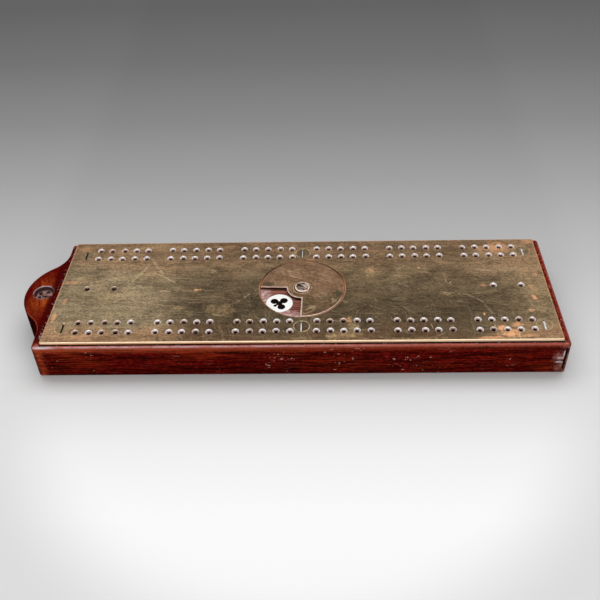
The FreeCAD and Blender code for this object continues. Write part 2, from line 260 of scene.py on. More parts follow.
def makeSpecks():
    # small irregular marks; share is how much of the surface has them
    group, point, (size, share) = newGroup("specks", ["Mask"], Size=0.001, Share=0.3)
    fine = noiseAt(scaled(point, calc("DIVIDE", 1, size)), 1, 2, 0.6)["Fac"]
    level = minus(0.8, times(share, 0.35))
    return finishGroup(group, fade(fine, level, plus(level, 0.05)))


def makeWoodGrain():
    group, point, (fineness, sway) = newGroup("woodGrain", ["Fibres", "Figure", "Pores"],
        Fineness=1, Sway=1)
    bend = vector("MULTIPLY", shake(point, 14, 2, 0.5, times(sway, 6 * mm)), (0, 1, 1))
    bent = scaled(vector("ADD", point, bend), fineness)
    fibres = noiseAt(vector("MULTIPLY", bent, (28, 900, 900)), 1, 4, 0.6)["Fac"]
    figure = noiseAt(vector("MULTIPLY", bent, (22, 95, 120)), 1, 4, 0.6,
        Distortion=0.6)["Fac"]
    pores = noiseAt(vector("MULTIPLY", bent, (210, 2600, 2600)), 1, 1)["Fac"]
    return finishGroup(group, fade(fibres, 0.3, 0.7), fade(figure, 0.36, 0.68), fade(pores, 0.62, 0.74))


def makePlanRim():
    # how far inside the plate a point is in plan, below zero outside; the left end is out of square
    group, point, (left, skew, right, side) = newGroup("planRim", ["Inside"], Left=0.1218,
        Skew=0.0223, Right=0.121, Side=0.0381)
    x, y = split(point)[:2]
    fromEnds = calc("MINIMUM", minus(plus(x, left), times(y, skew)), minus(right, x))
    return finishGroup(group, calc("MINIMUM", fromEnds, minus(side, calc("ABSOLUTE", y))))


brushedLines = makeBrushedLines()
patches = makePatches()
hairScratches = makeHairScratches()
spotAt = makeSpotAt()
lineAt = makeLineAt()
wipeRings = makeWipeRings()
specks = makeSpecks()
woodGrain = makeWoodGrain()
planRim = makePlanRim()
print("shared effects built:", len(bpy.data.node_groups))


def newMaterial(name):
    material = bpy.data.materials.new(name)
    material.use_nodes = True
    point = place("TexCoord", {}, material.node_tree).outputs["Object"]
    return material, material.node_tree.nodes["Principled BSDF"], point


def addBump(shader, height, depth, strength=1):
    bump = place("Bump", {"Height": height, "Strength": strength, "Distance": depth})
    feed(shader, "Normal", bump.outputs["Normal"])


def finishNode(name, material):
    for slot in nodes[name].material_slots:
        slot.material = material


def spots(point, wobble, places):
    masks = []
    for x, y, reachX, reachY, strength, ragged in places:
        spot = effect(spotAt, point, Centre=(x * mm, y * mm, 0),
            Reach=(reachX * mm, reachY * mm, 10), Ragged=ragged, Wobble=wobble)
        masks.append(times(spot, strength))
    return strongest(*masks)


def lines(point, places):
    flat = flatten(point)
    bent = flatten(vector("ADD", flat, shake(flat, 110, 1, 0.5, 1.6 * mm)))
    breaks = noiseAt(flat, 480, 3)["Fac"]
    masks = []
    for startX, startY, endX, endY, width, strength, ragged in places:
        line = effect(lineAt, bent, Start=(startX * mm, startY * mm, 0),
            End=(endX * mm, endY * mm, 0), Width=width * mm, Breaks=breaks, Ragged=ragged)
        masks.append(times(line, strength))
    return strongest(*masks)


def brushed(point, along, across):
    # fine lines along x; the higher across, the finer
    return effect(brushedLines, point, Along=along, Across=across)


def blotches(point, size, longer, low, high):
    # patches of a size in mm, stretched along x; low and high set how many and how soft
    return effect(patches, point, Size=size * mm, Stretch=longer, Low=low, High=high)


def hairs(point, across, places):
    # crossing sets of hair scratches
    return strongest(*[effect(hairScratches, point, Angle=angle, Along=along, Across=across,
        Width=width, Bare=bare) for angle, along, width, bare in places])


# the worn brass plate: olive in the middle, paler at the ends, coppery where hands and pegs rub it
plateLook = {
    # hues are relative: the tones along the plate set how light each part is
    "olive": (1.52, 1.08, 0.6),
    "greenish": (1.38, 1.06, 0.63),
    "warm": (1.78, 1.04, 0.56),
    "copper": (0.86, 0.42, 0.2),
    "ochre": (0.5, 0.34, 0.165),
    "scratch": (0.8, 0.62, 0.37),
    # countersinks: painted highlight at the mouth, painted shade in the throat
    "mouth": (1, 0.99, 0.98),
    "shadedThroat": (0.5, 0.33, 0.29),
    "dullMouth": (0.56, 0.4, 0.33),
    "dullShadedThroat": (0.085, 0.042, 0.034),
    # painted shade: deep in the holes, round the screws and in the gaps by the plate's edges
    "paintedShade": (0.035, 0.022, 0.016),
    "gameBrown": (0.115, 0.04, 0.03),
    "lip": (0.95, 0.74, 0.54),
    # painted highlight along the near edge
    "nearRimHighlight": (0.95, 0.74, 0.5),
    "otherRims": (0.66, 0.33, 0.15),
    # painted reflection of the wood low on the plate's edges
    "rimWoodReflection": (0.8, 0.36, 0.16),
    "boreCopper": (0.66, 0.28, 0.13),
    # tones: pale at both ends, darkest along the near middle; the rise towards the far side is partly
    # painted reflection
    "leftTone": 0.205,
    "rightTone": (0.172, 0.245),  # near, far
    "middleTone": (0.066, 0.1, 0.155),  # near, centre, far
    # places and reaches in mm
    "top": 20.5,
    "discRadius": 21.5,
    "screwPlaces": (113.7, 27.875),
    "screwRadius": 3.55,
    "darkGameHoles": (-101.4, 1, 9),
    # x, y, reach in x and y, strength, raggedness
    "palePools": [
        (-92, 12, 15, 22, 0.45, 1.2), (0, 30, 16, 6, 0.4, 1.2), (20, -36, 8, 3.5, 1, 1.2),
        (28, 4, 8, 7, 0.55, 1.2), (82, -37, 18, 4, 0.9, 1.2),
    ],
    "darkPools": [
        (-82, -36, 20, 4, 1, 1.2), (-24, -12, 13, 12, 0.6, 1.2), (46, 1, 14, 6, 0.35, 1.2),
        (-119, 4, 4, 16, 0.35, 1.2),
    ],
    "copperSpots": [
        (-116.5, 5.8, 5.5, 2.2, 0.45, 0.9), (-117.1, -8.3, 1.2, 3, 0.5, 0.8),
        (-119.8, -20.1, 1.4, 4, 0.7, 0.8), (-105, -33.7, 5, 2, 0.35, 1.3), (-114.9, 33.6, 5, 3, 0.3, 1.2),
        (-52.9, -0.8, 1.3, 0.9, 1, 0.5), (-50.7, -0.6, 0.9, 0.6, 0.8, 0.5),
        (-38.8, 33.9, 5, 2.2, 0.18, 1.2), (101, 31.3, 7, 5.6, 0.6, 1.1), (117.6, 36, 3, 2, 0.6, 1),
        (92.5, 30.3, 3, 3, 0.3, 1), (112.9, -0.2, 1.8, 3.5, 0.4, 1), (112.8, -8.6, 1.6, 2.4, 1, 0.7),
        (117, 9.4, 1.5, 2.5, 0.45, 0.9), (109.6, -18, 2.2, 1.1, 0.7, 0.8), (86.8, -20.4, 0.7, 1.1, 1, 0.4),
        (93.7, -30, 3.6, 2.6, 0.9, 1), (97.2, -33.8, 5.4, 3, 0.9, 1), (101.2, -27.9, 3.2, 1.8, 0.7, 1),
        (105.5, -35.4, 5, 1.2, 0.6, 1), (87.9, -36.6, 7, 1.3, 0.6, 1), (59.1, 14.9, 0.8, 1, 0.8, 0.4),
        (89.8, 0.7, 2.4, 1.6, 0.4, 0.8), (34.9, 13.4, 2.2, 1.7, 0.5, 1), (5.6, 23, 5, 1.2, 0.4, 1),
        (22.6, -24, 1.6, 2.6, 0.45, 1.1),
    ],
    "ochreSpots": [
        (-110, 8, 6, 3, 0.5, 0.9), (-59.9, -14.2, 4.2, 1.6, 0.8, 1.1), (-44.5, -14.8, 3.6, 3.6, 0.5, 1.2),
        (-57, -1.7, 6, 1, 0.5, 1), (-45.8, 13.4, 1.8, 1.6, 0.5, 0.8), (34.9, 11.4, 3.4, 4.6, 0.6, 1.1),
        (23.9, -28.9, 4, 2.6, 0.8, 1.2), (15, -34.6, 4, 2.2, 0.8, 1.2), (22.3, -33.6, 6, 3, 0.7, 1.2),
        (70.5, -5.7, 3.2, 1.2, 0.7, 1), (62, 13, 1.8, 3.4, 0.45, 1.1), (72, 7.5, 1.2, 5, 0.35, 1),
        (114.5, -2, 4, 14, 0.35, 1.1), (0, -36.5, 6, 1.6, 0.4, 1.1), (48, 9.5, 8, 6, 0.35, 1.2),
        (-38, -15.5, 6, 5, 0.45, 1.3), (-80, -36, 9, 1.5, 0.4, 1.1), (54, -36.8, 14, 1.2, 0.5, 1.1),
        (-75, 34, 12, 2.5, 0.3, 1.1), (68, 35.5, 14, 2, 0.3, 1.1), (74, 18.5, 4, 1.4, 0.5, 1),
        (99.8, -35.6, 7, 1.6, 0.6, 1), (-97, -7, 8, 5, 0.3, 1.1),
    ],
    # x and y of both ends, half width, strength, how broken
    "scratches": [
        (-78.5, 23.6, -71.7, 12.3, 1.2, 0.55, 0.38), (-75.5, 12.6, -64.3, 5.2, 0.6, 0.85, 0.38),
        (-79.5, 18.4, -87.5, 3.6, 1.4, 0.5, 0.4), (-84, 12, -90.5, 3, 0.5, 0.4, 0.42),
        (-72.2, -1.4, -65.9, -1.5, 0.4, 0.85, 0.38), (-90.3, -5.4, -77, -10.7, 0.5, 0.5, 0.46),
        (-77, -10.7, -60, -12.6, 0.4, 0.4, 0.47), (-46.2, 15.2, -43.6, 12.6, 0.4, 0.5, 0.4),
        (-32.9, 17.4, -24.4, 23.1, 0.4, 0.4, 0.44), (-33, -11.5, -22.4, -0.6, 0.5, 0.4, 0.46),
        (44.1, 9.4, 54.1, 8.3, 0.5, 0.45, 0.44), (46.9, 12.6, 51.6, 16.4, 0.5, 0.6, 0.42),
        (48, 2.5, 52.5, 0.6, 0.5, 0.4, 0.44), (67.7, -4.2, 80.8, -6.3, 0.7, 0.28, 0.44),
        (80.8, -6.3, 87.2, -11.9, 1, 0.3, 0.42), (87.2, -11.9, 90.7, -20, 0.9, 0.22, 0.44),
        (70.6, 10.2, 71.6, 3.6, 0.5, 0.45, 0.42), (71.6, 3.6, 74.4, 1.6, 0.4, 0.5, 0.42),
        (73.2, 2.6, 74.6, 3.8, 0.4, 1, 0.34), (-118.6, 1, -111.5, 9.9, 0.5, 0.45, 0.42),
        (60.6, -27.4, 61.4, -30.2, 0.4, 0.6, 0.4), (-101, 16, -86, 15, 0.4, 0.25, 0.47),
        (26, -10, 40, -17.5, 0.4, 0.25, 0.46),
    ],
    # crossing sets of hair scratches: angle, length, width, bareness
    "hairs": [(0.1, 14, 0.014, 0.46), (-0.45, 22, 0.01, 0.52), (1.25, 40, 0.008, 0.64),
        (0.55, 30, 0.01, 0.53)],
    # x, y and line spacing of the cloth arcs
    "wipes": [(38, -24, 1.1), (92, 22, 1.4)],
}


def screwDistance(point, look):
    # distance in plan from the nearest of the six plate screws
    folded = flatten(vector("ABSOLUTE", point))
    x, y = look["screwPlaces"]
    corner = vector("DISTANCE", folded, (x * mm, y * mm, 0))
    middle = vector("DISTANCE", folded, (0, y * mm, 0))
    return calc("MINIMUM", corner, middle)


def readPlate(point, look):
    # the patterns and masks that the parts of the plate's finish share
    plate = SimpleNamespace(look=look, point=point, flat=flatten(point), xyz=split(point), top=look["top"])
    plate.fine = brushed(point, 90, 2300)
    plate.mottle = blotches(point, 6, 1.7, 0.34, 0.66)
    plate.cloud = blotches(point, 20, 1.8, 0.36, 0.64)
    plate.crumbs = blotches(point, 1.1, 1.4, 0.36, 0.66)
    plate.grit = blotches(point, 0.52, 1.9, 0.36, 0.64)
    plate.wobble = wobbleNoise(point, 620)
    plate.fromScrew = screwDistance(point, look)
    plate.inside = effect(planRim, point)
    fromDisc = vector("LENGTH", plate.flat)
    plate.discRim = fadeMm(fromDisc, look["discRadius"] + 0.25, look["discRadius"] + 0.05)
    return plate


def plateGround(plate, look):
    # how light each part of the plate is, then its hue and its grain
    drift = shake(plate.point, 38, 4, 0.6, 34 * mm)
    driftX, driftY = split(vector("ADD", plate.point, drift))[:2]
    near, centre, far = look["middleTone"]
    # lighter towards the far side: partly the brass's own tone, partly painted reflection of the room
    tone = plus(fadeMm(driftY, -13, 0, near, centre), fadeMm(driftY, 2, 22, 0, far - centre))
    tone = mixColours(fadeMm(driftX, -48, -76), tone, (look["leftTone"],) * 3)
    tone = mixColours(fadeMm(driftX, 82, 114), tone, fadeMm(driftY, -4, 24, *look["rightTone"]))
    poolWobble = wobbleNoise(plate.point, 90)
    pools = minus(times(spots(plate.point, poolWobble, look["palePools"]), 0.45),
        times(spots(plate.point, poolWobble, look["darkPools"]), 0.4))
    tone = tint(tone, plus(pools, 1))
    warmShare = plus(times(fadeMm(driftY, -4, 34), 0.65), times(plate.cloud, 0.22))
    hue = mixColours(warmShare, look["olive"], look["warm"])
    leftMiddle = times(fadeMm(driftX, -40, -75), fadeMm(driftY, 26, 4))
    hue = paint(hue, look["greenish"], leftMiddle, 0.7)
    hue = paint(hue, look["warm"], fadeMm(driftY, -24, -35))
    broad = brushed(plate.point, 22, 620)
    grain = plus(times(plate.fine, 0.2), times(broad, 0.16), times(plate.mottle, 0.15),
        times(plate.crumbs, 0.18), times(plate.grit, 0.45))
    plate.colour = tint(mixColours(1, tone, hue, "MULTIPLY"), fade(grain, 0.18, 0.96, 0.58, 1.46))


def plateWear(plate, look):
    # rubbed places, cloth arcs, scratches and a worn line round each screw
    ochre = spots(plate.point, plate.wobble, look["ochreSpots"])
    coat(plate, "ochre", times(ochre, plus(times(plate.crumbs, 0.6), 0.4)))
    loose = effect(specks, plate.point, Size=0.8 * mm, Share=plus(times(plate.mottle, 0.3), 0.04))
    coat(plate, "ochre", loose, 0.5)
    plate.copper = spots(plate.point, plate.wobble, look["copperSpots"])
    coat(plate, "copper", plate.copper)
    wiped = strongest(*[effect(wipeRings, plate.point, Centre=(centreX * mm, centreY * mm, 0),
        Spacing=spacing * mm) for centreX, centreY, spacing in look["wipes"]])
    coat(plate, "scratch", wiped, 0.13)
    cuts = hairs(plate.point, 210, look["hairs"])
    coat(plate, "scratch", cuts, 0.2)
    marked = lines(plate.point, look["scratches"])
    coat(plate, "scratch", marked, 0.8)
    darkCuts = effect(hairScratches, vector("ADD", plate.point, (0.3, 0.2, 0)), Angle=0.05,
        Along=16, Across=260, Width=0.014, Bare=0.5)
    plate.colour = tint(plate.colour, inverse(times(darkCuts, 0.3)))
    plate.grooves = strongest(cuts, marked, darkCuts)
    ring = fadeMm(apart(plate.fromScrew, (look["screwRadius"] + 0.15) * mm), 0.36, 0.12)
    ring = times(ring, plus(times(plate.crumbs, 0.75), 0.1),
        fadeMm(calc("ABSOLUTE", plate.xyz[0]), 30, 90, 1, 0.5))
    coat(plate, "scratch", ring)


def plateHoles(plate, look):
    # the countersinks: a painted highlight at the mouth, dull in some, painted shade lower down and deeper
    # in the holes
    x, y, z = plate.xyz
    top = plate.top
    away = times(fadeMm(plate.inside, 1, 1.6), inverse(plate.discRim))
    plate.countersink = times(fadeMm(z, top - 0.09, top - 0.19), away)
    perHole = noiseAt(plate.flat, 105, 0)["Fac"]
    leftEnd = times(fadeMm(x, -82, -92, 0, 0.3), fadeMm(y, 5, -5))
    dull = fade(plus(perHole, plus(fadeMm(y, 5, -5, -0.12, -0.05), leftEnd)), 0.52, 0.74)
    gameX, gameY, gameReach = look["darkGameHoles"]
    fromGame = vector("DISTANCE", plate.flat, (gameX * mm, gameY * mm, 0))
    gameHoles = fadeMm(fromGame, gameReach, gameReach - 0.5)
    # lower in each countersink the colour turns to painted shade
    shadedThroat = fadeMm(plus(z, times(plate.wobble, 0.9 * mm)), top - 0.43, top - 0.66)
    metal = mixColours(dull, mixColours(shadedThroat, look["mouth"], look["shadedThroat"]),
        mixColours(shadedThroat, look["dullMouth"], look["dullShadedThroat"]))
    metal = paint(metal, look["dullMouth"], plate.grit, 0.3)
    metal = paint(metal, look["gameBrown"], gameHoles, 0.93)
    # painted shade deep in the holes
    metal = paint(metal, look["paintedShade"], fadeMm(z, top - 1.15, top - 1.4), 0.95)
    # painted shade in the wells round the screws
    screwWellShade = fadeMm(plate.fromScrew, look["screwRadius"] + 0.5, look["screwRadius"] + 0.3)
    metal = paint(metal, look["paintedShade"], screwWellShade, 0.85)
    lip = times(fadeMm(z, top - 0.46, top - 0.3), strongest(dull, gameHoles))
    metal = paint(metal, look["lip"], lip, 0.8)
    coat(plate, metal, plate.countersink)


def plateRims(plate, look):
    # the plate's own rims, a painted highlight along its near edge, a painted reflection of the wood low
    # on its edges, and the mouth of the disc's bore
    x, y, z = plate.xyz
    top = plate.top
    nearRimHighlight = times(fadeMm(y, -37, -37.5), fadeMm(plate.inside, 0.75, 0.35))
    rimWear = fadeMm(plate.inside, 0.85, 0.5)
    coat(plate, "otherRims", times(rimWear, spread(plate.crumbs, 0.35, 0.95)))
    coat(plate, "nearRimHighlight", nearRimHighlight, 0.95)
    # copper round the disc's bore, turning towards the far side into painted shade
    boreCopper = mixColours(fadeMm(y, 0, 12, 0, 0.78), look["boreCopper"], look["paintedShade"])
    coat(plate, boreCopper, times(plate.discRim, spread(plate.crumbs, 0.65, 1)))
    # a painted reflection of the wood along the lower part of the plate's edges, strongest at the left
    woodReflectionLine = times(fadeMm(z, top - 0.45, top - 0.6), fadeMm(plate.inside, 0.5, 0.2),
        fadeMm(x, -20, 60, 0.95, 0.2))
    coat(plate, "rimWoodReflection", woodReflectionLine)
    upright = strongest(fadeMm(plate.inside, 0.9, 0.35), plate.discRim)
    plate.wornRims = times(rimWear, inverse(nearRimHighlight))
    # painted shade on the lower part of the plate's edges and the bore, where they meet the wood and the
    # disc
    coat(plate, "paintedShade", times(fadeMm(z, top - 0.85, top - 1.05), upright))


def makePlateBrass(name, look):
    material, shader, point = newMaterial(name)
    plate = readPlate(point, look)
    for finish in (plateGround, plateWear, plateHoles, plateRims):
        finish(plate, look)
    feed(shader, "Base Color", plate.colour)
    # rubbed copper and the worn rims are duller than the polished brass
    boreWear = times(plate.discRim, fadeMm(plate.xyz[1], 8, -2))
    worn = strongest(plate.wornRims, times(plate.copper, 0.5), boreWear)
    feed(shader, "Metallic", calc("SUBTRACT", inverse(times(worn, 0.65)), times(plate.countersink, 0.62),
        clamp=True))
    rough = plus(times(plate.mottle, 0.12), times(plate.fine, 0.08), 0.27)
    feed(shader, "Roughness", times(rough, spread(plate.countersink, 1, 0.75)))
    height = minus(plus(plate.fine, times(plate.crumbs, 0.6)), times(plate.grooves, 1.5))
    addBump(shader, height, 0.014 * mm, 0.8)
    return material


finishNode("top_plate", makePlateBrass("agedPlateBrass", plateLook))
print("plate finished")


# the turning disc: a redder brass with a green bloom on one side and a worn rim with a painted highlight
discLook = {
    "body": (0.282, 0.16, 0.089),
    "low": (0.132, 0.073, 0.034),
    "light": (0.385, 0.238, 0.145),
    "bloom": (0.075, 0.066, 0.036),
    "scratch": (0.66, 0.46, 0.28),
    # worn rim colour, pale enough to paint the rim's highlight
    "rim": (0.86, 0.62, 0.5),
    "windowArrisHighlight": (0.78, 0.6, 0.48),
    # painted shade on the upright faces and in the recess
    "side": (0.085, 0.045, 0.028),
    # degrees
    "windowTurn": -2.2,
    # places and reaches in mm
    "radius": 20.8,
    "top": 20.5,
    "hubRadius": 7.7,
    "recessRadius": 4.2,
    # spots, scratches and hairs have the same columns as the plate's
    "bloomSpots": [
        (18, -4.6, 3.6, 3.2, 0.9, 1), (13.4, -8, 6, 4.5, 0.6, 1), (4, -13, 5, 6, 0.45, 1),
        (-17.3, 3.2, 4.2, 1.8, 0.7, 0.9), (9, -16, 7, 3, 0.4, 1), (2.6, -11, 1.4, 8, 0.4, 0.9),
    ],
    "rubbedSpots": [
        (15.4, -9.7, 2, 2.6, 0.55, 1.2), (9.4, -6, 5, 2, 0.4, 1.2), (4.6, -14.6, 3.4, 2, 0.6, 1.1),
        (-4, 13, 9, 3, 0.3, 1.1), (11, 9, 5, 4, 0.25, 1.1),
    ],
    "scratches": [
        (2.5, 10.1, 16.3, 3, 0.4, 0.6, 0.42), (-5.3, 17.3, 12.6, 8, 0.4, 0.4, 0.45),
        (2.1, -16.3, 5.7, -13.7, 0.5, 0.7, 0.38), (-14.2, 14.4, -3.8, 8.2, 0.3, 0.3, 0.46),
        (6, 2, 12, 8, 0.3, 0.3, 0.46), (-3, 12, 15, 4.6, 0.3, 0.4, 0.46),
        (8.5, -3, 14.5, -6, 0.3, 0.35, 0.44),
    ],
    "hairs": [(-0.5, 30, 0.014, 0.48), (0.35, 34, 0.014, 0.48), (1.3, 30, 0.014, 0.48)],
}


def makeDiscBrass(name, look):
    material, shader, point = newMaterial(name)
    x, y, z = split(point)
    turned = place("Mapping", {"Vector": point, "Rotation": (0, 0, 0.35)}).outputs[0]
    fine = brushed(turned, 80, 2300)
    cloud = blotches(turned, 9, 1.7, 0.35, 0.66)
    crumbs = blotches(turned, 1.2, 1.6, 0.36, 0.66)
    wobble = wobbleNoise(point, 620)
    colour = mixColours(fadeMm(y, 6, -12), look["body"], look["low"])
    colour = paint(colour, look["light"], cloud, 0.35)
    shade = plus(times(fine, 0.5), times(crumbs, 0.5))
    colour = tint(colour, fade(shade, 0.1, 0.9, 0.66, 1.3))
    colour = paint(colour, look["bloom"], spots(point, wobble, look["bloomSpots"]))
    rubbed = times(spots(point, wobble, look["rubbedSpots"]), crumbs)
    colour = paint(colour, look["scratch"], rubbed)
    marked = lines(point, look["scratches"])
    cuts = hairs(point, 260, look["hairs"])
    colour = paint(colour, look["scratch"], strongest(times(cuts, 0.38), marked))
    # rims: the worn outer edge carries a painted highlight, the recess lip is worn, and the window's edges
    # carry a painted highlight
    fromPivot = vector("LENGTH", flatten(point))
    patchy = spread(crumbs, 0.6, 1)
    rim = fadeMm(fromPivot, look["radius"] - 0.5, look["radius"] - 0.3)
    colour = paint(colour, look["rim"], times(rim, patchy))
    squareX, squareY = split(turn(point, -math.radians(look["windowTurn"])))[:2]
    toWindow = strongest(squareX, squareY, minus(look["hubRadius"] * mm, fromPivot))
    windowArrisHighlight = fadeMm(toWindow, 0.75, 0.45)
    colour = paint(colour, look["windowArrisHighlight"], times(windowArrisHighlight, patchy))
    lip = fadeMm(apart(fromPivot, (look["recessRadius"] + 0.2) * mm), 0.35, 0.1)
    colour = paint(colour, look["scratch"], times(lip, times(patchy, 0.8)))
    # painted shadow in the recess round the screw head, darkest to the lower left
    inRecess = fadeMm(fromPivot, look["recessRadius"] + 0.05, look["recessRadius"] - 0.1)
    shaded = fadeMm(plus(x, y), 1.5, -2.5, 0.25, 0.95)
    colour = paint(colour, look["side"], times(inRecess, shaded))
    # the upright faces below the top are painted dark as shade
    side = fadeMm(z, look["top"] - 0.1, look["top"] - 0.3)
    side = times(side, inverse(times(rim, fadeMm(z, look["top"] - 0.6, look["top"] - 0.4))))
    colour = paint(colour, look["side"], side)
    feed(shader, "Base Color", colour)
    # the near right of the rim is made less metallic so that its pale colour shows as a painted highlight
    rimHighlightSide = times(fadeMm(y, -4, -10), fadeMm(x, -2, 2))
    worn = times(strongest(windowArrisHighlight, times(rim, rimHighlightSide)), inverse(side))
    feed(shader, "Metallic", spread(worn, 1, 0.4))
    feed(shader, "Roughness", plus(times(cloud, 0.12), times(fine, 0.06), 0.27))
    addBump(shader, minus(fine, times(strongest(cuts, marked), 1.5)), 0.014 * mm, 0.8)
    return material


finishNode("indicator_disc", makeDiscBrass("indicatorDiscBrass", discLook))


# slotted screws, the washer and the pins
screwLook = {
    # body and rubbed places
    "plateScrewBrass": ((0.115, 0.08, 0.044), (0.155, 0.11, 0.062)),
    # the pivot's pale colour also paints the highlight on its rim and the lit wall of its slot
    "pivotScrewBrass": ((0.115, 0.084, 0.055), (1, 0.8, 0.68)),
    "washerBrass": ((0.3, 0.22, 0.12), (0.5, 0.36, 0.2)),
    "pinBrass": ((0.42, 0.3, 0.15), (0.7, 0.52, 0.28)),
    # painted shade in the slots
    "slotShade": (0.05, 0.032, 0.022),
    # painted highlight in some slots
    "slotHighlight": (1, 0.96, 0.94),
}


def makeScrewBrass(name, size, top=None, rimHighlightRadius=None, paleEndsLitSlots=False):
    # in mm: size of the patches, height below which it is painted as shade, inside of a pale rim painted
    # as a highlight
    material, shader, point = newMaterial(name)
    body, rubbed = screwLook[name]
    x, y, z = split(point)
    turned = place("Mapping", {"Vector": point, "Rotation": (0, 0, 0.9)}).outputs[0]
    fine = brushed(turned, 120, 2600)
    cloud = blotches(point, size, 1.2, 0.38, 0.64)
    colour = paint(body, rubbed, cloud, 0.55)
    if paleEndsLitSlots:
        # paler towards the ends like the plate, and lighter towards the far side as painted reflection
        ends = fadeMm(calc("ABSOLUTE", x), 30, 105, 1, 2.8)
        colour = tint(colour, strongest(ends, fadeMm(y, -10, 10, 1, 1.9)))
    colour = tint(colour, spread(fine, 0.8, 1.15))
    cut = effect(hairScratches, point, Angle=0.8, Along=60, Across=420, Width=0.02, Bare=0.45)
    colour = paint(colour, rubbed, cut, 0.45)
    feed(shader, "Metallic", 1)
    if rimHighlightRadius:
        fromMiddle = vector("LENGTH", flatten(point))
        # the pale rim on the pivot's head is a painted highlight
        rim = fadeMm(fromMiddle, rimHighlightRadius - 0.15, rimHighlightRadius + 0.15)
        colour = paint(colour, rubbed, rim)
        feed(shader, "Metallic", spread(rim, 1, 0.3))
    if top:
        slotShade = screwLook["slotShade"]
        if paleEndsLitSlots:
            # painted highlight in the slots of the right-hand screws and the left half of the middle ones
            litSlotSide = times(fadeMm(x, 0.1, -0.1), fadeMm(x, -20, -4))
            litSlotSide = strongest(litSlotSide, fadeMm(x, 20, 100))
            slotShade = mixColours(litSlotSide, slotShade, screwLook["slotHighlight"])
        if rimHighlightRadius:
            # one wall of the pivot's slot painted lit, the other painted as shade
            slotShade = mixColours(fadeMm(x, -0.6, 0.4), slotShade, rubbed)
        colour = paint(colour, slotShade, fadeMm(z, top, top - 0.12), 0.92)
    feed(shader, "Base Color", colour)
    feed(shader, "Roughness", plus(times(cloud, 0.12), 0.26))
    addBump(shader, minus(fine, cut), 0.012 * mm, 0.7)
    return material


finishNode("plate_screws", makeScrewBrass("plateScrewBrass", 2.6, top=20.46, paleEndsLitSlots=True))
finishNode("pivot_screw", makeScrewBrass("pivotScrewBrass", 2.4, top=20.82, rimHighlightRadius=3.1))
finishNode("pivot_washer", makeScrewBrass("washerBrass", 3))
pinBrass = makeScrewBrass("pinBrass", 1.2)
finishNode("base_pins", pinBrass)
finishNode("drawer_pins", pinBrass)
print("metal fittings finished")


